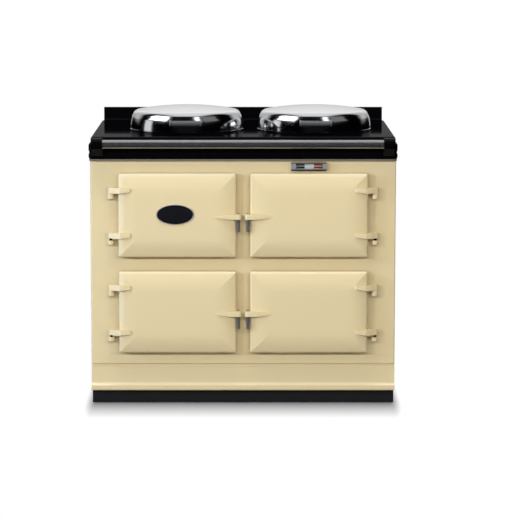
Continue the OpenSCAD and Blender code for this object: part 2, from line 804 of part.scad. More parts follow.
// Knuckles on the front plate: a web and a footed post for each door pin
module door_hinge_brackets() {
    color(enamel_cream) for (col = [-1, 1], row = [0, 1], k = hinge_rows())
        at_door(col, row) translate([-hinge_x, 0, knuckle_top(k) - k[2]]) difference() {
            union() {
                translate([0, -hinge_stand, 0]) cylinder(r = arm_end_r - 0.5, h = k[2]);
                translate([-6, -hinge_stand, 0]) cube([12, hinge_stand, k[2]]);
                translate([-11, -4, -5]) cube([22, 4, k[2] + 5]);
            }
            translate([0, -hinge_stand, -eps]) cylinder(d = hinge_pin_d + 2 * touch, h = k[2] + 2 * eps);
        }
}

// Hinge pins, with a washer on each lower one
module door_hinge_pins() {
    color(chrome) for (col = [-1, 1], row = [0, 1], k = hinge_rows())
        at_door(col, row) translate([-hinge_x, -hinge_stand, knuckle_top(k) - k[2]]) {
            cylinder(d = hinge_pin_d, h = k[2] + k[1] + hinge_arm_h - 2);
            if (k[1] > 2 * seat) translate([0, 0, k[2]]) cylinder(d = hinge_pin_d + 5, h = washer_h);
        }
}

// Catch posts between the doors
module door_catches() {
    post = grip_t - arm_end_r - seat;
    color(chrome) for (col = [-1, 1], row = [0, 1]) at_door(col, row) translate([grip_x, 0, catch_z])
        rotate([90, 0, 0]) {
            cylinder(r = 5, h = post);
            cylinder(r = 6, h = 3);
        }
}

// Cast arm on a door: [x, t] profile across, tapering towards the door's middle
module hinge_arm(z) {
    arm = hinge_arm_h / 2;
    tip = -door_w / 2 + 42;
    nose = 4;
    crown = door_gap + door_depth;
    intersection() {
        translate([0, 0, z - arm]) linear_extrude(2 * arm) mirror([0, 1]) union() {
            translate([-hinge_x, hinge_stand]) circle(arm_end_r);
            polygon([[-hinge_x, hinge_stand - arm_end_r], [-hinge_x - 3, hinge_stand + arm_end_r - 0.5],
                [-hinge_x + 14, crown - 4], [-hinge_x + 30, crown + 3], [tip - 14, crown + 4],
                [tip - 4, crown + 3.5], [tip, crown + 0.5], [tip, crown - 12], [-door_w / 2 + 2, 12],
                [-door_w / 2, 12]]);
        }
        front_slab(0, crown + 10) translate([0, z]) union() {
            polygon([[-hinge_x - arm_end_r, -arm], [-hinge_x - arm_end_r, arm], [tip - nose, arm],
                [tip - nose, -arm + 5], [-hinge_x + 26, -arm]]);
            translate([tip - nose, arm - nose]) circle(nose);
            translate([tip - nose, -arm + 5 + nose]) circle(nose);
            translate([tip - nose, -arm + 5 + nose]) square([nose, 2 * arm - 5 - 2 * nose]);
        }
    }
}

// Catch arm: thin and pointed on the door, with a boss over the grip
module catch_arm() {
    crown = door_gap + door_depth;
    half = 8.5;
    tip = door_w / 2 - 71;
    intersection() {
        translate([0, 0, catch_z - half]) linear_extrude(2 * half) mirror([0, 1]) union() {
            translate([grip_x, grip_t]) circle(arm_end_r);
            polygon([[tip, crown - 6], [tip, crown + 0.5], [tip + 24, crown + 4.5], [grip_x - 18, crown + 7.5],
                [grip_x, grip_t + arm_end_r], [grip_x, grip_t - arm_end_r], [grip_x - 9, grip_t - arm_end_r],
                [door_w / 2 - 14, 20]]);
        }
        front_slab(0, crown + 12) translate([0, catch_z]) union() {
            polygon([[tip, -2.5], [tip, 2.5], [grip_x - 26, half], [grip_x + 12, half], [grip_x + 12, -half],
                [grip_x - 26, -half]]);
            translate([tip + 1, 0]) circle(2.6);
        }
    }
}

// Hollow door casting with its hinge arms and catch arm
module door_casting(col, row) {
    h = door_h(row);
    crown = door_gap + door_depth;
    color(enamel_cream) at_door(col, row) difference() {
        union() {
            pillow(door_w, h, crown, door_shoulder, door_fall, door_edge_r, door_corner_r, door_gap);
            for (k = hinge_rows()) hinge_arm(k[0]);
            catch_arm();
        }
        pillow(door_w - 2 * door_wall, h - 2 * door_wall, crown - door_wall, door_shoulder - door_wall,
            door_fall, 3, 5, door_gap + rim_t);
        front_slab(door_gap - eps, door_gap + rim_t + eps) rounded(mouth_w, mouth_h(row), mouth_r);
        for (k = hinge_rows()) translate([-hinge_x, -hinge_stand, k[0] - hinge_arm_h])
            cylinder(d = hinge_pin_d + 2 * run_gap, h = 2 * hinge_arm_h);
    }
}

// Insulation packed into a door through its rim
module door_insulation(col, row) {
    fit = 0.5;
    h = door_h(row);
    back = liner_t - plug_t + seat;
    color(mineral_wool) at_door(col, row) union() {
        pillow(door_w - 2 * door_wall - 2 * fit, h - 2 * door_wall - 2 * fit,
            door_gap + door_depth - door_wall - fit, door_shoulder - door_wall, door_fall, 3, 5,
            door_gap + rim_t + seat);
        front_slab(door_gap + liner_t + seat, door_gap + rim_t + eps)
            rounded(mouth_w - 2 * fit, mouth_h(row) - 2 * fit, mouth_r);
        front_slab(back, door_gap + liner_t + eps)
            rounded(mouth_w - 2 * (plug_gap + liner_t + fit), mouth_h(row) - 2 * (plug_gap + liner_t + fit),
                mouth_r - 4);
    }
}

// Stepped inner pan that fits the door's rim and plugs the oven mouth
module door_liner(col, row) {
    w = mouth_w - 2 * plug_gap;
    h = mouth_h(row) - 2 * plug_gap;
    color(galvanised) at_door(col, row) difference() {
        union() {
            front_slab(door_gap, door_gap + liner_t)
                rounded(mouth_w - 2 * seat, mouth_h(row) - 2 * seat, mouth_r - seat);
            front_slab(-plug_t, door_gap + liner_t) rounded(w, h, mouth_r - 2);
        }
        front_slab(-plug_t + liner_t, door_gap + liner_t + eps)
            rounded(w - 2 * liner_t, h - 2 * liner_t, mouth_r - 2 - liner_t);
    }
}

// Spindle with an end cap and a coil of wire round it, hung under the catch arm
module door_handle(col, row) {
    top = catch_z - 8.5;
    foot = top - seat - grip_len;
    color(chrome) at_door(col, row) translate([grip_x, -grip_t, 0]) {
        translate([0, 0, foot - seat]) cylinder(d = spindle_d(grip_d, grip_wire), h = top - foot + seat);
        translate([0, 0, foot - seat - 2]) cylinder(d = grip_d, h = 2);
        translate([0, 0, foot + grip_wire / 2])
            coil((grip_d - grip_wire) / 2, (grip_len - grip_wire) / grip_turns, grip_turns, grip_wire);
    }
}

module upper_left_door_casting() { door_casting(-1, 1); }
module upper_left_door_insulation() { door_insulation(-1, 1); }
module upper_left_door_liner() { door_liner(-1, 1); }
module upper_left_handle() { door_handle(-1, 1); }
module upper_right_door_casting() { door_casting(1, 1); }
module upper_right_door_insulation() { door_insulation(1, 1); }
module upper_right_door_liner() { door_liner(1, 1); }
module upper_right_handle() { door_handle(1, 1); }
module lower_left_door_casting() { door_casting(-1, 0); }
module lower_left_door_insulation() { door_insulation(-1, 0); }
module lower_left_door_liner() { door_liner(-1, 0); }
module lower_left_handle() { door_handle(-1, 0); }
module lower_right_door_casting() { door_casting(1, 0); }
module lower_right_door_insulation() { door_insulation(1, 0); }
module lower_right_door_liner() { door_liner(1, 0); }
module lower_right_handle() { door_handle(1, 0); }

// Ellipse of a given width and height
module oval(w, h) {
    polygon([for (i = [0 : 4 : 356]) [w / 2 * cos(i), h / 2 * sin(i)]]);
}

// Plain oval badge: a bright rim round a bare black plate
module upper_left_badge() {
    t = door_gap + door_depth;
    color(enamel_black) at_door(-1, 1) translate([-6, 0, 4]) {
        front_slab(t, t + 3) difference() {
            oval(badge_w, badge_h);
            oval(badge_w - 8, badge_h - 8);
        }
        front_slab(t, t + 1.4) oval(badge_w - 8.6, badge_h - 8.6);
    }
}

// Half section of a domed lid: tapering wall, round shoulder and shallow crown
module lid_section(foot, height, shoulder, crown) {
    slope = atan2(lid_taper, lid_h);
    q = height - crown;
    t = tan(slope);
    k = foot - shoulder / cos(slope);
    m = k * t + q;
    c = k * k + q * q - pow(crown - shoulder, 2);
    cz = (m + sqrt(m * m - (1 + t * t) * c)) / (1 + t * t);
    cx = k - cz * t;
    x2 = cx * crown / (crown - shoulder);
    union() {
        polygon([[0, 0], [foot, 0], [cx + shoulder * cos(slope), cz + shoulder * sin(slope)], [cx, cz], [0, cz]]);
        translate([cx, cz]) circle(shoulder);
        intersection() {
            translate([0, q]) circle(crown, $fn = 720);
            translate([0, cz - eps]) square([x2, height]);
        }
    }
}

module lid_solid(x, z, inset) {
    turned(x, plate_y, z)
        lid_section(lid_d / 2 - inset, lid_h - inset, lid_shoulder_r - inset, lid_crown_r - inset);
}

// Spun dome of a lid with a rolled foot
module lid_dome(x) {
    z = hob_h + lid_gap;
    color(chrome) difference() {
        lid_solid(x, z, 0);
        difference() {
            translate([0, 0, -0.01]) lid_solid(x, z, lid_wall);
            turned(x, plate_y, z) translate([lid_d / 2 - 6, -eps]) square([10, 4 + eps]);
        }
        turned(x, plate_y, z) translate([0, -eps]) square([lid_d / 2 - 6, 5 + eps]);
    }
}

// Room inside a dome's wall at height h over the lid's foot
function lid_bore(h) = lid_d / 2 - lid_wall / cos(atan2(lid_taper, lid_h)) - h * lid_taper / lid_h;

// Inner pan of a lid, with an upturned rim
module lid_liner(x) {
    rim = 12;
    r = lid_bore(liner_z - lid_gap + rim) - seat;
    color(galvanised) turned(x, plate_y, hob_h + liner_z) union() {
        square([r, 1.5]);
        translate([r - 1.5, 0]) square([1.5, rim]);
    }
}

module lid_insulation(x) {
    fit = 0.5;
    rim = 12 + fit;
    z = hob_h + liner_z + 1.5 + seat;
    r = lid_bore(liner_z - lid_gap + rim) - 1.5 - 2 * seat;
    color(mineral_wool) intersection() {
        lid_solid(x, hob_h + lid_gap, lid_wall + fit);
        turned(x, plate_y, z) union() {
            square([r, rim]);
            translate([0, rim - 1.5]) square([lid_d / 2, lid_h]);
        }
    }
}

// Cast arm behind a lid, with the barrel that turns on the hinge pin
module lid_hinge_arm(x) {
    color(chrome) difference() {
        translate([x - lid_barrel / 2, 0, 0]) rotate([90, 0, 90]) linear_extrude(lid_barrel) union() {
            translate([pivot_y, pivot_z]) circle(11);
            polygon([[pivot_y, pivot_z - 11], [pivot_y, pivot_z + 11], [pivot_y - 16, pivot_z + 15],
                [plate_y + lid_d / 2 - 24, pivot_z + 15], [plate_y + lid_d / 2 - 24, pivot_z - 13],
                [pivot_y - 16, pivot_z - 13]]);
        }
        turned(x, plate_y, hob_h + lid_gap)
            lid_section(lid_d / 2 + seat, lid_h + seat, lid_shoulder_r + seat, lid_crown_r + seat);
        translate([x - lid_barrel, pivot_y, pivot_z]) rotate([0, 90, 0])
            cylinder(d = lid_pin_d + 2 * run_gap, h = 2 * lid_barrel);
    }
}

// Two end brackets, a spindle between them and a coil of wire round the spindle
module lid_handle(x) {
    half = lid_grip_len / 2 + seat;
    wall_r = lid_d / 2 - (lid_grip_z - lid_gap) * lid_taper / lid_h;
    y = plate_y - wall_r - lid_grip_room - lid_grip_d / 2;
    lug = 7;
    color(chrome) translate([x, 0, hob_h + lid_grip_z]) {
        for (s = [-1, 1]) difference() {
            translate([s * (half + lug / 2) - lug / 2, 0, 0]) rotate([90, 0, 90]) linear_extrude(lug) union() {
                translate([y, 0]) circle(d = lid_grip_d + 2);
                polygon([[y, lid_grip_d / 2 + 1], [y, -lid_grip_d / 2], [y + 18, -6], [y + 60, -7],
                    [y + 60, 8], [y + 18, 6]]);
            }
            turned(0, plate_y, lid_gap - lid_grip_z)
                lid_section(lid_d / 2 + seat, lid_h + seat, lid_shoulder_r + seat, lid_crown_r + seat);
        }
        translate([-half - eps, y, 0]) rotate([0, 90, 0])
            cylinder(d = spindle_d(lid_grip_d, lid_grip_wire), h = 2 * half + 2 * eps);
        translate([-lid_grip_len / 2 + lid_grip_wire / 2, y, 0]) rotate([0, 90, 0])
            coil((lid_grip_d - lid_grip_wire) / 2, (lid_grip_len - lid_grip_wire) / lid_grip_turns,
                lid_grip_turns, lid_grip_wire);
    }
}

module boiling_lid_dome() { lid_dome(boiling_x); }
module boiling_lid_insulation() { lid_insulation(boiling_x); }
module boiling_lid_liner() { lid_liner(boiling_x); }
module boiling_lid_hinge_arm() { lid_hinge_arm(boiling_x); }
module boiling_lid_handle() { lid_handle(boiling_x); }
module simmering_lid_dome() { lid_dome(simmering_x); }
module simmering_lid_insulation() { lid_insulation(simmering_x); }
module simmering_lid_liner() { lid_liner(simmering_x); }
module simmering_lid_hinge_arm() { lid_hinge_arm(simmering_x); }
module simmering_lid_handle() { lid_handle(simmering_x); }

// Cheek brackets and pins of the two lid hinges
module lid_hinges() {
    cheek = 8;
    x0 = lid_barrel / 2 + seat;
    color(enamel_black) for (x = [boiling_x, simmering_x]) {
        translate([x, 0, 0]) difference() {
            union() {
                for (s = [-1, 1]) translate([s > 0 ? x0 : -x0 - cheek, 0, 0]) rotate([90, 0, 90])
                    linear_extrude(cheek) union() {
                        translate([pivot_y, pivot_z]) circle(13);
                        translate([pivot_y - 13, hob_h]) square([26, pivot_z - hob_h]);
                    }
                translate([-x0 - cheek, pivot_y - 18, hob_h]) cube([2 * (x0 + cheek), 36, 6]);
            }
            translate([-lid_barrel, pivot_y, pivot_z]) rotate([0, 90, 0])
                cylinder(d = lid_pin_d + 2 * touch, h = 2 * lid_barrel);
        }
        translate([x - x0 - cheek - 2, pivot_y, pivot_z]) rotate([0, 90, 0])
            cylinder(d = lid_pin_d, h = 2 * (x0 + cheek) + 4);
    }
}

// Vent spigot and cable gland on the back panel
module rear_fittings() {
    color(galvanised) {
        translate([vent_x, back_y, vent_z]) rotate([-90, 0, 0]) difference() {
            union() {
                translate([0, 0, -back_t - 8]) cylinder(d = vent_d, h = back_t + 8 + rear_gap - 4);
                cylinder(d = vent_d + 18, h = 2);
            }
            translate([0, 0, -back_t - 8 - eps]) cylinder(d = vent_d - 3, h = back_t + 8 + rear_gap);
        }
        translate([gland_x, back_y, gland_z]) rotate([-90, 0, 0]) difference() {
            union() {
                translate([0, 0, -back_t - 6]) cylinder(d = gland_d, h = back_t + 6 + 12);
                cylinder(d = gland_d + 9, h = 6, $fn = 6);
                translate([0, 0, 6]) cylinder(d = gland_d + 2, h = 8);
            }
            translate([0, 0, -back_t - 6 - eps]) cylinder(d = 11, h = 40);
        }
    }
}

base_plinth();
base_plate();
lower_skirt();
front_plate();
left_side_panel();
right_side_panel();
back_panel();
top_plate();
rear_upstand();
hand_rail();
hand_rail_brackets();
boiling_plate();
simmering_plate();
heat_core();
heating_elements();
roasting_oven();
baking_oven();
simmering_oven();
oven_shelves();
insulation_slabs();
oven_door_seals();
control_box();
thermostat_knob();
power_switch();
heat_indicator_case();
heat_indicator_dial();
heat_indicator_glass();
heat_indicator_needle();
door_hinge_brackets();
door_hinge_pins();
door_catches();
lid_hinges();
rear_fittings();
upper_left_door_casting();
upper_left_door_insulation();
upper_left_door_liner();
upper_left_handle();
upper_left_badge();
upper_right_door_casting();
upper_right_door_insulation();
upper_right_door_liner();
upper_right_handle();
lower_left_door_casting();
lower_left_door_insulation();
lower_left_door_liner();
lower_left_handle();
lower_right_door_casting();
lower_right_door_insulation();
lower_right_door_liner();
lower_right_handle();
boiling_lid_dome();
boiling_lid_insulation();
boiling_lid_liner();
boiling_lid_hinge_arm();
boiling_lid_handle();
simmering_lid_dome();
simmering_lid_insulation();
simmering_lid_liner();
simmering_lid_hinge_arm();
simmering_lid_handle();
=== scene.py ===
"""Dresses a cast-iron range cooker: enamels, bright metal, coiled grips, domed lids, a studio."""

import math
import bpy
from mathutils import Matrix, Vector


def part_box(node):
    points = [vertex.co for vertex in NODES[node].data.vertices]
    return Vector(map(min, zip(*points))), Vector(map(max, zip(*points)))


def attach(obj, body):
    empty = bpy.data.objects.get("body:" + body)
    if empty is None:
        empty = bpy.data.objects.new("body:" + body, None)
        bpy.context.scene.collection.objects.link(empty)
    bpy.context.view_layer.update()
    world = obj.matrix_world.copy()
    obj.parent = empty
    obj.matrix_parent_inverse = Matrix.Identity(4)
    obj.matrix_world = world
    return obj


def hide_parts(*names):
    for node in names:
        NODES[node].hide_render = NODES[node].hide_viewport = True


bl_info = {
    "name": "Range Cooker Dressing",
    "version": (1, 0, 0),
    "blender": (4, 5, 0),
    "location": "View3D > Sidebar > Cooker",
    "description": "Finishes and fine pieces of an enamelled range cooker",
    "category": "Object",
}

import bmesh
import bpy
from mathutils import Matrix, Vector

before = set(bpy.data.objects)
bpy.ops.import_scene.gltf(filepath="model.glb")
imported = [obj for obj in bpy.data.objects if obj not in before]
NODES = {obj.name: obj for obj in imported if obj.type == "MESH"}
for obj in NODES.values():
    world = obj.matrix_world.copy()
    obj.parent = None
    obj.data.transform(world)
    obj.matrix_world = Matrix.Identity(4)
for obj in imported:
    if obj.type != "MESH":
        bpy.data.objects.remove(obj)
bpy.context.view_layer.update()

# Lengths are in metres, except where a name says otherwise.
X_AXIS, Z_AXIS, FORWARD = (1, 0, 0), (0, 0, 1), (0, -1, 0)
WHITE = (1, 1, 1)

DOORS = ("upper_left", "upper_right", "lower_left", "lower_right")
LIDS = ("boiling", "simmering")

# Which nodes wear which finish, by name and then by the end of the name.
WEARERS = {
    "plinth": ("base_plinth",),
    "cream": ("lower_skirt", "front_plate", "left_side_panel", "right_side_panel",
              "door_hinge_brackets"),
    "black": ("top_plate", "rear_upstand", "hand_rail_brackets", "lid_hinges"),
    "rail": ("hand_rail",),
    "cast": ("base_plate", "heat_core"),
    "ground": ("boiling_plate", "simmering_plate"),
    "zinc": ("back_panel", "control_box", "rear_fittings"),
    "satin": ("heating_elements", "oven_shelves", "door_hinge_pins", "door_catches"),
    "wool": ("insulation_slabs",),
    "rope": ("oven_door_seals",),
    "knob": ("thermostat_knob",),
    "switch": ("power_switch",),
    "indicator": ("heat_indicator_case",),
    "dial": ("heat_indicator_dial",),
    "glass": ("heat_indicator_glass",),
    "needle": ("heat_indicator_needle",),
}
ENDINGS = (("_oven", "cast"), ("casting", "cream"), ("insulation", "wool"), ("lid_liner", "pan"),
           ("liner", "zinc"), ("dome", "dome"), ("hinge_arm", "satin"))

# Camera.
SENSOR_WIDTH = 36
EYE = (-0.0012, -7.7282, 1.5658)
SHIFT_X, SHIFT_Y = 0.0342, -0.05
CLIP_END = 200

# Floor: a patch round the cooker's foot shows its real shadow, darkened further as painted shade,
# and fades into white.
FLOOR_SIZE = 40
FLOOR_BOUNCE = (0.42, 0.42, 0.42)
# Floor colour that camera rays see near the foot: darker than its bounce, as painted shade.
FLOOR_SEEN_PAINTED_SHADE = (0.23, 0.23, 0.23)
PATCH_HALF_WIDTH, PATCH_HALF_DEPTH = 0.478, 0.245
SIDE_FADE = 8.0
FADE_START, FADE_WIDTH = 0.02, 0.24

# What shines in metal and enamel. The arch rises over the cooker from ahead (0) through
# overhead (0.5) to behind (1), as (turn, level).
ARCH = ((0.0, 0.006), (0.31, 0.006), (0.36, 0.6), (0.45, 0.85), (0.7, 0.85), (0.78, 0.9),
        (0.86, 1.0), (1.0, 0.62))
REAR_SKY = 0.55
REAR_GROUND = 0.6
# Windows as bearing from, to and edge in radians (0 ahead, left below 0), height from, to and
# edge as the ray's z, and level.
WINDOWS = (
    (-1.6, -0.74, 0.05, 0.33, 0.8, 0.05, 2.2),
    (-1.68, -1.3, 0.05, -0.3, 0.3, 0.04, 0.8),
    (0.33, 0.6, 0.04, 0.33, 0.8, 0.05, 1.6),
    (0.62, 1.35, 0.1, 0.3, 0.75, 0.05, 0.2),
)

# Lamps.
FRONT = (0, -0.3, 0.55)
WINDOW_BLUE = (0.5, 0.68, 1.0)
SOFTBOX_BLUE = (0.72, 0.86, 1.0)

# Meshes.
WELD = 1e-6
SMOOTH_ANGLE = math.radians(35)
COIL_STEPS, WIRE_SIDES = 20, 10
WALL_STEPS, SHOULDER_STEPS, CROWN_STEPS = 10, 14, 14


def corners(node):
    """Lowest corner, highest corner and middle of a node's box at rest."""
    low, high = (Vector(corner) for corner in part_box(node))
    return low, high, (low + high) / 2


def middle(node):
    return corners(node)[2]


def linear(r, g, b):
    """Linear colour of a screen colour in 0 to 255."""
    def level(v):
        return v / 12.92 if v <= 0.04045 else ((v + 0.055) / 1.055) ** 2.4
    return tuple(level(v / 255) for v in (r, g, b))


def scaled(colour, r, g=None, b=None):
    """A colour times one factor, or times one factor for each channel."""
    factors = (r, r, r) if g is None else (r, g, b)
    return tuple(c * k for c, k in zip(colour, factors))


class Wire:
    """A node socket that takes part in Python arithmetic."""

    def __init__(self, graph, socket):
        self.graph = graph
        self.socket = socket

    def _math(self, operation, a, b=None):
        values = {0: a} if b is None else {0: a, 1: b}
        return self.graph.node("ShaderNodeMath", {"operation": operation}, values)

    def __add__(self, other):
        return self._math("ADD", self, other)

    __radd__ = __add__

    def __mul__(self, other):
        return self._math("MULTIPLY", self, other)

    def __sub__(self, other):
        return self._math("SUBTRACT", self, other)

    def __rsub__(self, other):
        return self._math("SUBTRACT", other, self)

    def __truediv__(self, other):
        return self._math("DIVIDE", self, other)

    def __pow__(self, other):
        return self._math("POWER", self, other)

    def __abs__(self):
        return self._math("ABSOLUTE", self)

    def __gt__(self, other):
        return self._math("GREATER_THAN", self, other)

    def __lt__(self, other):
        return self._math("LESS_THAN", self, other)

    def at_least(self, least):
        return self._math("MAXIMUM", self, least)

    def angle_from(self, ahead):
        """Angle of the direction that goes this far across and that far ahead."""
        return self._math("ARCTAN2", self, ahead)

    def clamp(self):
        return self.graph.node("ShaderNodeClamp", {}, {"Value": self})


class Finish:
    """A material or a world, and its shader graph."""

    def __init__(self, name, world=None):
        self.material = world or bpy.data.materials.new(name)
        self.material.use_nodes = True
        self.tree = self.material.node_tree
        self.tree.nodes.clear()

    def node(self, kind, settings=None, values=None, out=0):
        """Adds one node: settings first, then values or links for its sockets."""
        made = self.tree.nodes.new(kind)
        for key, value in (settings or {}).items():
            if key == "stops":
                ramp = made.color_ramp
                while len(ramp.elements) < len(value):
                    ramp.elements.new(1.0)
                for element, (at, level) in zip(ramp.elements, value):
                    element.position = at
                    element.color = (level, level, level, 1.0)
            else:
                setattr(made, key, value)
        for key, value in (values or {}).items():
            if isinstance(value, Wire):
                self.tree.links.new(value.socket, made.inputs[key])
            elif isinstance(made.inputs[key].default_value, float):
                made.inputs[key].default_value = value
            else:
                size = len(made.inputs[key].default_value)
                made.inputs[key].default_value = tuple(value) + (1.0,) * (size - len(value))
        return Wire(self, made.outputs[out])

    def place(self):
        return self.node("ShaderNodeTexCoord", out="Object")

    def part(self, vector, which):
        """One of a vector's three numbers, or one of a colour's."""
        return self.node("ShaderNodeSeparateXYZ", {}, {0: vector}, out=which)

    def axis(self, which):
        return self.part(self.place(), "XYZ".index(which))

    def noise(self, scale, detail=2.0, stretch=(1, 1, 1)):
        where = self.node("ShaderNodeMapping", {}, {"Vector": self.place(), "Scale": stretch})
        return self.node("ShaderNodeTexNoise", {},
                         {"Vector": where, "Scale": scale, "Detail": detail, "Roughness": 0.5},
                         out="Fac")

    def mix(self, factor, a, b):
        return self.node("ShaderNodeMix", {"data_type": "RGBA"}, {0: factor, 6: a, 7: b}, out=2)

    def bump(self, height, strength, distance):
        return self.node("ShaderNodeBump", {},
                         {"Height": height, "Strength": strength, "Distance": distance})

    def shade(self, **values):
        """Ends the graph in one Principled shader; underscores stand for spaces."""
        self.close(self.node("ShaderNodeBsdfPrincipled", {},
                             {key.replace("_", " "): value for key, value in values.items()}))
        return self.material

    def close(self, shader, kind="ShaderNodeOutputMaterial"):
        """Joins a shader to the output."""
        end = self.tree.nodes.new(kind)
        self.tree.links.new(shader.socket, end.inputs["Surface"])

    def soft_step(self, value, start, width):
        """0 below start, 1 past start + width."""
        return ((value - start) / width).clamp()

    def soft_band(self, value, low, high, width):
        """1 between low and high, 0 outside, with both edges inside the band."""
        rise = self.soft_step(value, low, width)
        return rise * (1 - self.soft_step(value, high - width, width))


class CookerColours(bpy.types.PropertyGroup):
    cream: bpy.props.FloatVectorProperty(
        name="Cream enamel", description="Vitreous enamel on the front, the doors and the sides",
        subtype="COLOR", size=3, min=0, max=1, default=linear(224, 205, 161))
    black: bpy.props.FloatVectorProperty(
        name="Black enamel", description="Vitreous enamel on the top plate and its upstand",
        subtype="COLOR", size=3, min=0, max=1, default=linear(6, 6, 8))
    # Brownish colour of the painted shadow band along the top plate's foot, standing for the
    # shaded gap under it.
    strip: bpy.props.FloatVectorProperty(
        name="Painted foot shadow", description="Painted shadow of the gap along the top plate's foot",
        subtype="COLOR", size=3, min=0, max=1, default=linear(112, 103, 90))
    plinth: bpy.props.FloatVectorProperty(
        name="Plinth black", description="Satin paint on the plinth",
        subtype="COLOR", size=3, min=0, max=1, default=linear(31, 31, 32))
    bright: bpy.props.FloatVectorProperty(
        name="Bright metal", description="Polished chrome on the rail, the grips and the trims",
        subtype="COLOR", size=3, min=0, max=1, default=linear(226, 227, 229))
    too_hot: bpy.props.FloatVectorProperty(
        name="Too-hot zone", description="Right-hand zone of the heat indicator",
        subtype="COLOR", size=3, min=0, max=1, default=linear(120, 8, 20))


class CookerGrips(bpy.types.PropertyGroup):
    wire: bpy.props.FloatProperty(
        name="Door wire", description="Wire of a door's coiled grip",
        unit="LENGTH", default=0.0026)
    turns: bpy.props.IntProperty(
        name="Door turns", description="Turns of wire in a door's grip", default=11)
    lid_wire: bpy.props.FloatProperty(
        name="Lid wire", description="Wire of a lid's coiled grip",
        unit="LENGTH", default=0.0032)
    lid_turns: bpy.props.IntProperty(
        name="Lid turns", description="Turns of wire in a lid's grip", default=22)


class CookerLids(bpy.types.PropertyGroup):
    crown: bpy.props.FloatProperty(
        name="Crown", description="Radius of a lid's crown", unit="LENGTH", default=0.95)
    shoulder: bpy.props.FloatProperty(
        name="Shoulder", description="Radius of a lid's shoulder", unit="LENGTH", default=0.022)
    lean: bpy.props.FloatProperty(
        name="Lean", description="Inward lean of a lid's wall at its top",
        subtype="ANGLE", default=math.radians(19))


class CookerStage(bpy.types.PropertyGroup):
    lens: bpy.props.FloatProperty(
        name="Lens", description="Focal length on a 36 mm sensor", default=162.06)
    tilt: bpy.props.FloatProperty(
        name="Tilt", description="Downward tilt of the camera", subtype="ANGLE", default=0.1354)
    key: bpy.props.FloatProperty(
        name="Strip light", description="Power of the wide light in front",
        unit="POWER", default=122)
    left: bpy.props.FloatProperty(
        name="Left light", description="Power of the light from the left",
        unit="POWER", default=80)
    overhead: bpy.props.FloatProperty(
        name="Top light", description="Power of the light overhead",
        unit="POWER", default=70)
    upper_glint: bpy.props.FloatProperty(
        name="Upper softbox", description="Power of the panel that shines in upper edges",
        unit="POWER", default=105)
    left_glint: bpy.props.FloatProperty(
        name="Left softbox", description="Power of the panel that shines in left edges",
        unit="POWER", default=42)
    fill: bpy.props.FloatProperty(
        name="Fill", description="Level of the surrounding light", default=0.1)


def cream_enamel():
    colour = tuple(bpy.context.scene.cooker_colours.cream)
    f = Finish("cream_enamel")
    drift = f.noise(scale=3.0, detail=3.0)
    speck = f.noise(scale=900.0)
    skin = f.noise(scale=160.0, detail=1.5)
    tint = f.mix(drift * 0.35, colour, scaled(colour, 0.97, 0.955, 0.92))
    tint = f.mix(((speck - 0.66) * 2.0).clamp() * 0.12, tint, scaled(colour, 0.7))
    return f.shade(Base_Color=tint, Roughness=0.16 + drift * 0.08, Specular_IOR_Level=0.7,
                   Coat_Weight=1.0, Coat_Roughness=0.05, Coat_IOR=1.6,
                   Normal=f.bump(skin, strength=0.05, distance=0.0006))


def black_enamel():
    """Black enamel, with a brownish band along the top plate's foot: painted shadow of the gap
    under it.
    """
    colours = bpy.context.scene.cooker_colours
    f = Finish("black_enamel")
    skin = f.noise(scale=120.0, detail=1.5)
    drift = f.noise(scale=4.0)
    foot = corners("top_plate")[0].z
    # strip marks the painted shadow: a brownish, rougher band on the foot stands in for the shaded
    # gap under the top plate.
    strip = f.soft_band(f.axis("Z"), low=foot - 0.001, high=foot + 0.0066, width=0.0006)
    return f.shade(Base_Color=f.mix(strip, tuple(colours.black), tuple(colours.strip)),
                   Roughness=0.1 + drift * 0.05 + strip * 0.3, Specular_IOR_Level=0.0,
                   Coat_Weight=0.16, Coat_Roughness=0.06,
                   Normal=f.bump(skin, strength=0.03, distance=0.0005))


def plinth_paint():
    colour = tuple(bpy.context.scene.cooker_colours.plinth)
    f = Finish("plinth_paint")
    grain = f.noise(scale=700.0, detail=3.0)
    return f.shade(Base_Color=f.mix(grain * 0.4, colour, scaled(colour, 1.5)),
                   Roughness=0.42 + grain * 0.12,
                   Normal=f.bump(grain, strength=0.12, distance=0.0004))


def polished_chrome(name="polished_chrome", rough=0.06, shade=1.0, metallic=1.0):
    f = Finish(name)
    smear = f.noise(scale=14.0, detail=3.0)
    scratch = f.noise(scale=260.0, stretch=(1, 1, 8))
    return f.shade(Base_Color=scaled(bpy.context.scene.cooker_colours.bright, shade),
                   Metallic=metallic, Roughness=rough + smear * 0.05,
                   Normal=f.bump(scratch, strength=0.02, distance=0.0003))


def case_metal():
    """Satin metal of the indicator's case, with painted shade darkening its foot and its top edge.
    """
    f = Finish("case_metal")
    low, high, _ = corners("heat_indicator_case")
    # face is the middle band at full colour; the near-black below and above it is painted shade on
    # the foot and under the top edge.
    face = f.soft_band(f.axis("Z"), low=low.z + 0.004, high=high.z - 0.0012, width=0.0015)
    scratch = f.noise(scale=260.0, stretch=(8, 1, 1))
    return f.shade(Base_Color=f.mix(face, (0.03, 0.032, 0.036), (0.5, 0.5, 0.51)), Metallic=0.5,
                   Roughness=0.3 + scratch * 0.06,
                   Normal=f.bump(scratch, strength=0.03, distance=0.0002))


def turned_marks(f, fineness=900.0):
    """Fine rings about the middle of the lid or plate that a point lies on."""
    left, right = middle("boiling_lid_dome"), middle("simmering_lid_dome")
    side = f.axis("X") > (left.x + right.x) / 2
    dx = f.axis("X") - (left.x + side * (right.x - left.x))
    dy = f.axis("Y") - left.y
    ring = (dx * dx + dy * dy) ** 0.5
    where = f.node("ShaderNodeCombineXYZ", {},
                   {0: ring * fineness, 1: f.axis("Z") * fineness, 2: side * 3.0})
    return f.node("ShaderNodeTexNoise", {}, {"Vector": where, "Scale": 1.0, "Detail": 2.0},
                  out="Fac")


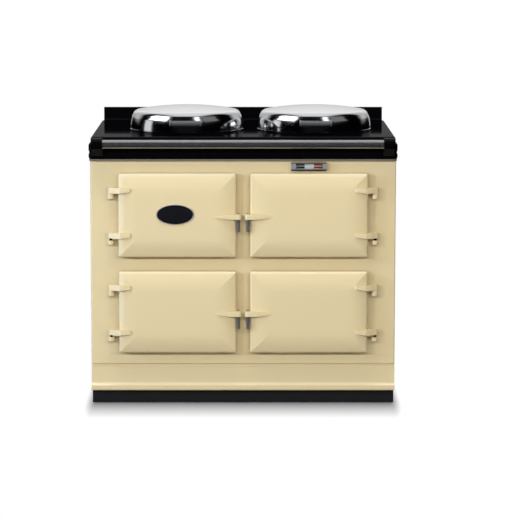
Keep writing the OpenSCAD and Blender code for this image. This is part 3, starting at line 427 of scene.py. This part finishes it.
def spun_dome():
    f = Finish("spun_dome")
    marks = turned_marks(f)
    smear = f.noise(scale=9.0, detail=3.0)
    return f.shade(Base_Color=tuple(bpy.context.scene.cooker_colours.bright), Metallic=1.0,
                   Roughness=0.08 + marks * 0.05 + smear * 0.04,
                   Normal=f.bump(marks, strength=0.03, distance=0.0002))


def turned_metal(name, colour, rough, strength):
    """Metal with visible turning marks: plate tops and the lids' inner pans."""
    f = Finish(name)
    marks = turned_marks(f)
    smear = f.noise(scale=6.0, detail=3.0)
    return f.shade(Base_Color=f.mix(marks * 0.5, scaled(colour, 0.8), colour), Metallic=0.85,
                   Roughness=rough + smear * 0.12,
                   Normal=f.bump(marks, strength, distance=0.0004))


def cast_iron():
    """Iron as it leaves the mould, a little browned in places."""
    colour, scale = (0.10, 0.10, 0.105), 220.0
    f = Finish("as_cast_iron")
    grain = f.noise(scale, detail=4.0)
    blotch = f.noise(scale / 30, detail=3.0)
    tint = f.mix(grain * 0.5, scaled(colour, 0.75), scaled(colour, 1.2))
    tint = f.mix(blotch * 0.25, tint, scaled(colour, 1.1, 0.85, 0.7))
    return f.shade(Base_Color=tint, Metallic=0.6, Roughness=0.5 + grain * 0.15,
                   Normal=f.bump(grain, strength=0.35, distance=0.0008))


def zinc_sheet():
    f = Finish("zinc_sheet")
    cell = f.node("ShaderNodeTexVoronoi", {}, {"Vector": f.place(), "Scale": 45.0}, out="Color")
    level = f.part(cell, 0)
    grain = f.noise(scale=400.0)
    return f.shade(Base_Color=f.mix(level * 0.6, (0.32, 0.33, 0.34), (0.46, 0.47, 0.48)),
                   Metallic=0.9, Roughness=0.32 + level * 0.12,
                   Normal=f.bump(grain, strength=0.05, distance=0.0003))


def fibre(name, colour, scale):
    f = Finish(name)
    strand = f.noise(scale, detail=5.0, stretch=(1, 1, 3))
    return f.shade(Base_Color=f.mix(strand, scaled(colour, 0.6), colour), Roughness=0.95,
                   Normal=f.bump(strand, strength=0.6, distance=0.002))


def plastic(name, colour, rough):
    f = Finish(name)
    grain = f.noise(scale=600.0)
    return f.shade(Base_Color=f.mix(grain * 0.3, colour, scaled(colour, 1.3)),
                   Roughness=rough + grain * 0.08,
                   Normal=f.bump(grain, strength=0.08, distance=0.0002))


def dial_face():
    """Dark, silver and red zones from left to right; each outer zone has two broad stripes."""
    mm = 1000.0
    f = Finish("dial_face")
    centre = middle("heat_indicator_dial")
    x = (f.axis("X") - centre.x) * mm
    z = abs(f.axis("Z") - centre.z) * mm
    brushed = f.noise(scale=300.0, stretch=(1, 1, 6))
    silver = f.mix(brushed * 0.4, (0.62, 0.62, 0.62), (0.82, 0.82, 0.81))
    stripes = (z > 2.2) * (z < 7.4)
    hot = f.mix(stripes, (0.36, 0.25, 0.12), tuple(bpy.context.scene.cooker_colours.too_hot))
    cold = f.mix(stripes, (0.24, 0.24, 0.25), (0.004, 0.004, 0.005))
    face = f.mix((x > 16.0) * (x < 44.0), silver, hot)
    face = f.mix((x < -13.4) * (x > -41.5), face, cold)
    return f.shade(Base_Color=face, Roughness=0.35 + f.noise(scale=500.0) * 0.05)


def clear_glass():
    f = Finish("clear_glass")
    haze = f.noise(scale=60.0)
    return f.shade(Base_Color=(0.97, 0.98, 0.98), Roughness=0.02 + haze * 0.02,
                   Transmission_Weight=1.0, IOR=1.45, Alpha=0.3)


def finishes():
    """Every finish of the cooker, by a plain name."""
    return {
        "cream": cream_enamel(),
        "black": black_enamel(),
        "plinth": plinth_paint(),
        "chrome": polished_chrome(),
        "satin": polished_chrome("satin_chrome", rough=0.16, shade=0.9),
        "rail": polished_chrome("rail_chrome", rough=0.22, shade=0.5, metallic=0.92),
        "case": polished_chrome("case_chrome", rough=0.32, shade=0.7, metallic=0.6),
        "coil": polished_chrome("coil_chrome", rough=0.3, shade=0.34, metallic=0.6),
        "dome": spun_dome(),
        "indicator": case_metal(),
        "ground": turned_metal("ground_iron", (0.36, 0.36, 0.37), rough=0.26, strength=0.25),
        "pan": turned_metal("spun_aluminium", (0.72, 0.73, 0.74), rough=0.3, strength=0.12),
        "cast": cast_iron(),
        "zinc": zinc_sheet(),
        "wool": fibre("mineral_wool", (0.62, 0.52, 0.24), scale=240.0),
        "rope": fibre("rope_seal", (0.34, 0.32, 0.28), scale=500.0),
        "knob": plastic("knob_plastic", (0.02, 0.02, 0.02), rough=0.35),
        "switch": plastic("switch_plastic", (0.42, 0.02, 0.015), rough=0.25),
        "dial": dial_face(),
        "glass": clear_glass(),
        "needle": plastic("needle_paint", (0.7, 0.7, 0.7), rough=0.3),
    }


def finish_of(node):
    """Name of the finish that a CAD node wears."""
    for finish, nodes in WEARERS.items():
        if node in nodes:
            return finish
    for ending, finish in ENDINGS:
        if node.endswith(ending):
            return finish
    return "chrome"


def piece_from(name, bm, finish, body, replaced=None):
    """Turns a bmesh into a finished piece that rides on a body."""
    bmesh.ops.remove_doubles(bm, verts=bm.verts, dist=WELD)
    bmesh.ops.recalc_face_normals(bm, faces=bm.faces)
    mesh = bpy.data.meshes.new(name)
    bm.to_mesh(mesh)
    bm.free()
    mesh.materials.append(bpy.data.materials[finish])
    for polygon in mesh.polygons:
        polygon.use_smooth = True
    mesh.set_sharp_from_angle(angle=SMOOTH_ANGLE)
    made = bpy.data.objects.new(name, mesh)
    bpy.context.scene.collection.objects.link(made)
    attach(made, body)
    if replaced:
        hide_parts(replaced)


def lathe(bm, profile, centre, axis=Z_AXIS, side=X_AXIS, steps=96):
    """Spins an open profile of (radius, height) points about an axis through centre."""
    axis, side, centre = Vector(axis), Vector(side), Vector(centre)
    verts = [bm.verts.new(centre + side * r + axis * h) for r, h in profile]
    edges = [bm.edges.new(pair) for pair in zip(verts, verts[1:])]
    bmesh.ops.spin(bm, geom=verts + edges, cent=centre, axis=axis, angle=math.tau, steps=steps,
                   use_merge=True)


def coil(bm, start, axis, side, outside, wire, length, turns):
    """Winds one wire round an axis: a circle spun with a rise at each step.

    outside is the winding's outer radius, and length runs over its first and last wires.
    """
    axis, side, start = Vector(axis), Vector(side), Vector(start)
    start += axis * wire / 2
    pitch = (length - wire) / turns
    upright = Matrix((side, axis, side.cross(axis))).transposed().to_4x4()
    place = Matrix.Translation(start + side * (outside - wire / 2)) @ upright
    made = bmesh.ops.create_circle(bm, cap_ends=False, radius=wire / 2, segments=WIRE_SIDES,
                                   matrix=place)
    first = list({e for v in made["verts"] for e in v.link_edges})
    done = bmesh.ops.spin(bm, geom=made["verts"] + first, cent=start, axis=axis,
                          dvec=axis * (pitch / COIL_STEPS), angle=math.tau * turns,
                          steps=COIL_STEPS * turns)
    last = [e for e in done["geom_last"] if isinstance(e, bmesh.types.BMEdge)]
    bmesh.ops.contextual_create(bm, geom=first)
    bmesh.ops.contextual_create(bm, geom=last)


class COOKER_OT_camera(bpy.types.Operator):
    """Camera at the photograph's viewing angle"""
    bl_idname = "cooker.camera"
    bl_label = "Camera"

    def execute(self, context):
        stage = context.scene.cooker_stage
        data = bpy.data.cameras.new("camera")
        data.sensor_width = SENSOR_WIDTH
        data.lens = stage.lens
        data.shift_x, data.shift_y = SHIFT_X, SHIFT_Y
        data.clip_end = CLIP_END
        eye = bpy.data.objects.new("camera", data)
        eye.location = EYE
        eye.rotation_euler = (math.pi / 2 - stage.tilt, 0, 0)
        context.scene.collection.objects.link(eye)
        context.scene.camera = eye
        return {"FINISHED"}


class COOKER_OT_finishes(bpy.types.Operator):
    """Gives every CAD node its finish"""
    bl_idname = "cooker.finishes"
    bl_label = "Finishes"

    def execute(self, context):
        made = finishes()
        for name, node in NODES.items():
            node.data.materials.clear()
            node.data.materials.append(made[finish_of(name)])
        return {"FINISHED"}


def white_floor():
    """A floor that shows the cooker's real shadow round its foot, on a patch that camera rays see
    darker as painted shade, and is plain white beyond.
    """
    bm = bmesh.new()
    bmesh.ops.create_grid(bm, x_segments=1, y_segments=1, size=FLOOR_SIZE)
    mesh = bpy.data.meshes.new("floor")
    bm.to_mesh(mesh)
    bm.free()
    f = Finish("floor_white")
    seen = f.node("ShaderNodeLightPath", out="Is Camera Ray")
    beside = (abs(f.axis("X")) - PATCH_HALF_WIDTH).at_least(0.0) * SIDE_FADE
    beyond = (abs(f.axis("Y")) - PATCH_HALF_DEPTH).at_least(0.0)
    away = f.soft_step((beside * beside + beyond * beyond) ** 0.5, FADE_START, FADE_WIDTH)
    # Camera rays see a darker floor colour than bounced light does: painted shade added to the
    # real shadow round the foot.
    lit = f.node("ShaderNodeBsdfPrincipled", {}, {
        "Base Color": f.mix(seen, FLOOR_BOUNCE, FLOOR_SEEN_PAINTED_SHADE), "Roughness": 0.6,
        "Specular IOR Level": 0.2})
    glow = f.node("ShaderNodeEmission", {}, {"Color": WHITE, "Strength": 1.0})
    f.close(f.node("ShaderNodeMixShader", {}, {0: seen * away, 1: lit, 2: glow}))
    mesh.materials.append(f.material)
    floor = bpy.data.objects.new("floor", mesh)
    floor.visible_glossy = False
    bpy.context.scene.collection.objects.link(floor)


def surround(fill):
    """White to the camera, an arch and windows to shiny surfaces, a faint fill to matt ones."""
    world = bpy.data.worlds.new("surround")
    bpy.context.scene.world = world
    w = Finish("surround", world)
    camera = w.node("ShaderNodeLightPath", out="Is Camera Ray")
    glossy = w.node("ShaderNodeLightPath", out="Is Glossy Ray")
    ray = w.node("ShaderNodeTexCoord", out="Generated")
    x, y, z = (w.part(ray, i) for i in range(3))
    ahead = 0 - y
    turn = z.angle_from(ahead) / math.pi
    arch = w.part(w.node("ShaderNodeValToRGB", {"stops": ARCH}, {0: turn}, out="Color"), 0)
    beside = w.soft_step(abs(x), start=0.25, width=0.3)
    rear_sky = w.soft_step(y, start=0.35, width=0.2) * w.soft_step(z, start=0.05, width=0.15)
    rear_ground = w.soft_step(y, start=0.9, width=0.05) * (z < 0.0) * REAR_GROUND
    sky = arch * (1 - beside) + beside * (rear_sky * REAR_SKY)
    bearing = x.angle_from(ahead)
    windows = sum(w.soft_band(bearing, left, right, edge) * w.soft_band(z, foot, top, sill) * level
                  for left, right, edge, foot, top, sill, level in WINDOWS)
    shine = sky * (z > 0.0) + rear_ground + windows
    level = camera + (1 - camera) * (glossy * shine + (1 - glossy) * fill)
    w.close(w.node("ShaderNodeBackground", {}, {"Color": WHITE, "Strength": level}),
            "ShaderNodeOutputWorld")


def area_light(name, at, aim, size, power, colour=WHITE):
    """A lamp that lights surfaces and doesn't show in shiny ones."""
    data = bpy.data.lights.new(name, "AREA")
    data.shape = "RECTANGLE"
    data.size, data.size_y = size
    data.energy = power
    data.color = colour
    lamp = bpy.data.objects.new(name, data)
    lamp.visible_glossy = False
    lamp.location = at
    lamp.rotation_euler = (Vector(aim) - Vector(at)).to_track_quat("-Z", "Y").to_euler()
    bpy.context.scene.collection.objects.link(lamp)
    return lamp


def softbox(name, at, aim, size, power, receivers):
    """A large pale panel that only shines in the receivers' rounded edges."""
    lamp = area_light(name, at, aim, size, power, SOFTBOX_BLUE)
    lamp.visible_diffuse = False
    lamp.visible_glossy = True
    lamp.light_linking.receiver_collection = receivers


class COOKER_OT_stage(bpy.types.Operator):
    """Pale floor, soft light and a white surround"""
    bl_idname = "cooker.stage"
    bl_label = "Stage"

    def execute(self, context):
        context.scene.view_settings.view_transform = "Standard"
        stage = context.scene.cooker_stage
        white_floor()
        surround(stage.fill)

        area_light("strip", (0.1, -5.2, 2.3), FRONT, (4.6, 0.2), stage.key)
        area_light("left", (-3.3, -4.9, 2.2), FRONT, (0.4, 0.3), stage.left)
        area_light("window", (-5.0, -2.6, 2.2), FRONT, (0.7, 0.7), 130, WINDOW_BLUE)
        area_light("right", (3.6, -4.4, 1.9), FRONT, (0.8, 0.8), 32)
        area_light("overhead", (-0.4, -1.5, 3.9), (0, -0.2, 0.7), (2.4, 1.2), stage.overhead)
        area_light("rear", (2.6, 3.6, 2.6), (0, 0, 0.6), (1.6, 1.6), 60)
        enamelled = bpy.data.collections.new("enamelled")
        for name, node in NODES.items():
            if finish_of(name) == "cream":
                enamelled.objects.link(node)
        softbox("upper_softbox", (0, -1.9, 4.0), (0, -0.9, 0.5), (5.0, 4.2), stage.upper_glint,
                enamelled)
        softbox("left_softbox", (-4.6, -2.4, 0.6), (0, -0.3, 0.5), (4.0, 2.6), stage.left_glint,
                enamelled)
        return {"FINISHED"}


def door_grip(prefix):
    """Spindle, end cap and wound wire that hang under a door's catch arm."""
    grips = bpy.context.scene.cooker_grips
    node = prefix + "_handle"
    low, high, mid = corners(node)
    outer = (high.x - low.x) / 2
    spindle = outer * 0.52
    cap, gap, length = 0.002, 0.0003, 0.038
    bm = bmesh.new()
    lathe(bm, [(0, 0), (outer * 0.7, 0.0002), (outer * 0.96, 0.0007), (outer, 0.0012),
               (outer * 0.9, cap), (spindle, cap), (spindle, high.z - low.z), (0, high.z - low.z)],
          (mid.x, mid.y, low.z), steps=32)
    coil(bm, (mid.x, mid.y, low.z + cap + gap), Z_AXIS, X_AXIS, outer, grips.wire, length,
         grips.turns)
    piece_from(prefix + "_coiled_grip", bm, "coil_chrome", prefix + "_door", node)


class COOKER_OT_door_grips(bpy.types.Operator):
    """Coiled grips of the doors"""
    bl_idname = "cooker.door_grips"
    bl_label = "Door grips"

    def execute(self, context):
        for prefix in DOORS:
            door_grip(prefix)
        return {"FINISHED"}


def arc(x, z, radius, start, end, steps):
    """Points of an arc about (x, z), both ends included."""
    angles = [start + (end - start) * i / steps for i in range(steps + 1)]
    return [(x + radius * math.cos(a), z + radius * math.sin(a)) for a in angles]


def dome_profile(foot, height, wall):
    """Leaning wall, shoulder and crown of a lid as (radius, height) points, set in by a wall."""
    sizes = bpy.context.scene.cooker_lids
    lean, wall_top = sizes.lean, height * 0.71
    setback = math.tan(lean) * wall_top / 2
    points = [(foot - wall - setback * (i / WALL_STEPS) ** 2, wall_top * i / WALL_STEPS)
              for i in range(WALL_STEPS + 1)]
    crown, shoulder = sizes.crown - wall, sizes.shoulder - wall
    crown_z = height - wall - crown
    shoulder_x = points[-1][0] - shoulder * math.cos(lean)
    rise = math.sqrt((crown - shoulder) ** 2 - shoulder_x ** 2)
    join = math.atan2(rise, shoulder_x)
    bend = arc(shoulder_x, crown_z + rise, shoulder, lean, join, SHOULDER_STEPS)
    below = bend[0][1] - 0.001
    cap = arc(0.0, crown_z, crown, join, math.pi / 2, CROWN_STEPS)[1:-1]
    return [p for p in points if p[1] < below] + bend + cap + [(0.0, crown_z + crown)]


def lid_dome(prefix):
    """Spun dome with a rolled foot."""
    node = prefix + "_lid_dome"
    low, high, mid = corners(node)
    foot, height = (high.x - low.x) / 2, high.z - low.z
    sheet, roll, roll_top = 0.0025, 0.006, 0.004
    outer = dome_profile(foot, height, 0.0)
    inner = dome_profile(foot, height, sheet)
    bead = [(foot - roll, roll_top), (foot - roll, 0.0), (foot - 0.0006, 0.0), (foot, 0.0006),
            (foot, 0.0032), (foot - 0.0012, roll_top)]
    bm = bmesh.new()
    lathe(bm, inner[::-1] + bead + outer[1:], (mid.x, mid.y, low.z), steps=128)
    piece_from(prefix + "_dome", bm, "spun_dome", prefix + "_lid", node)


def lid_grip(prefix):
    """Coiled grip between two bosses on arms, in front of a lid."""
    grips = bpy.context.scene.cooker_grips
    node = prefix + "_lid_handle"
    low, high, mid = corners(node)
    outer, boss, boss_outer, chamfer = 0.009, 0.007, 0.01, 0.0012
    half_span, spindle, length = 0.0453, 0.0049, 0.09
    arm_width, arm_height, short = 0.0064, 0.014, 0.004
    y = low.y + boss_outer
    reach = high.y - y - short
    bm = bmesh.new()
    for side in (-1, 1):
        inner_x = mid.x + side * half_span
        lathe(bm, [(0, 0), (outer * 0.8, 0), (boss_outer, chamfer), (boss_outer, boss - chamfer),
                   (outer * 0.8, boss), (0, boss)],
              (inner_x if side > 0 else inner_x - boss, y, mid.z + 0.0005), X_AXIS, Z_AXIS, 40)
        arm = bmesh.ops.create_cube(bm, size=1.0)["verts"]
        bmesh.ops.scale(bm, vec=(arm_width, reach, arm_height), verts=arm)
        bmesh.ops.translate(bm, vec=(inner_x + side * boss / 2, y + reach / 2, mid.z), verts=arm)
        edges = list({e for v in arm for e in v.link_edges})
        bmesh.ops.bevel(bm, geom=edges, offset=0.002, affect="EDGES", segments=3, profile=0.5,
                        material=-1)
    lathe(bm, [(0, 0), (spindle, 0), (spindle, 2 * half_span), (0, 2 * half_span)],
          (mid.x - half_span, y, mid.z), X_AXIS, Z_AXIS, 24)
    coil(bm, (mid.x - length / 2, y, mid.z), X_AXIS, Z_AXIS, outer, grips.lid_wire, length,
         grips.lid_turns)
    piece_from(prefix + "_coiled_grip", bm, "coil_chrome", prefix + "_lid", node)


class COOKER_OT_lids(bpy.types.Operator):
    """Domes of the lids and their coiled grips"""
    bl_idname = "cooker.lids"
    bl_label = "Lids"

    def execute(self, context):
        for prefix in LIDS:
            lid_dome(prefix)
            lid_grip(prefix)
        return {"FINISHED"}


class COOKER_OT_badge(bpy.types.Operator):
    """Plain oval badge: a bright rim round a bare black plate"""
    bl_idname = "cooker.badge"
    bl_label = "Badge"

    def execute(self, context):
        node = "upper_left_badge"
        low, high, mid = corners(node)
        a, b, t = (high.x - low.x) / 2, (high.z - low.z) / 2, high.y - low.y
        squash = Matrix.Diagonal((1, 1, b / a)).to_4x4()
        place = Matrix.Translation((mid.x, high.y, mid.z)) @ squash

        def oval(profile, name, finish, replaced=None):
            bm = bmesh.new()
            lathe(bm, profile, (0, 0, 0), FORWARD)
            bmesh.ops.transform(bm, matrix=place, verts=bm.verts)
            piece_from(name, bm, finish, "upper_left_door", replaced)

        rim, gap = 0.0036, 0.0002
        oval([(a - rim, 0), (a, 0), (a, t * 0.5), (a - rim * 0.3, t * 0.95), (a - rim * 0.6, t),
              (a - rim, t * 0.7), (a - rim, 0)], "badge_rim", "case_chrome", node)
        plate = a - rim - gap
        oval([(0, 0), (plate, 0), (plate, t * 0.5), (plate - 0.004, t * 0.62),
              (plate * 0.6, t * 0.75), (0, t * 0.8)], "badge_plate", "black_enamel")
        return {"FINISHED"}


class COOKER_PT_panel(bpy.types.Panel):
    bl_label = "Range cooker"
    bl_idname = "COOKER_PT_panel"
    bl_space_type = "VIEW_3D"
    bl_region_type = "UI"
    bl_category = "Cooker"

    def draw(self, context):
        for operator in OPERATORS:
            self.layout.operator(operator.bl_idname)
        for group in GROUPS:
            values = getattr(context.scene, group)
            for name in values.__annotations__:
                self.layout.prop(values, name)


GROUPS = {"cooker_colours": CookerColours, "cooker_grips": CookerGrips,
          "cooker_lids": CookerLids, "cooker_stage": CookerStage}
OPERATORS = (COOKER_OT_camera, COOKER_OT_finishes, COOKER_OT_stage, COOKER_OT_door_grips,
             COOKER_OT_lids, COOKER_OT_badge)


def register():
    for name, group in GROUPS.items():
        bpy.utils.register_class(group)
        setattr(bpy.types.Scene, name, bpy.props.PointerProperty(type=group))
    for operator in OPERATORS:
        bpy.utils.register_class(operator)
    bpy.utils.register_class(COOKER_PT_panel)


def unregister():
    bpy.utils.unregister_class(COOKER_PT_panel)
    for operator in reversed(OPERATORS):
        bpy.utils.unregister_class(operator)
    for name, group in GROUPS.items():
        delattr(bpy.types.Scene, name)
        bpy.utils.unregister_class(group)


def main():
    register()
    for operator in OPERATORS:
        family, name = operator.bl_idname.split(".")
        getattr(getattr(bpy.ops, family), name)()


if __name__ == "__main__":
    main()
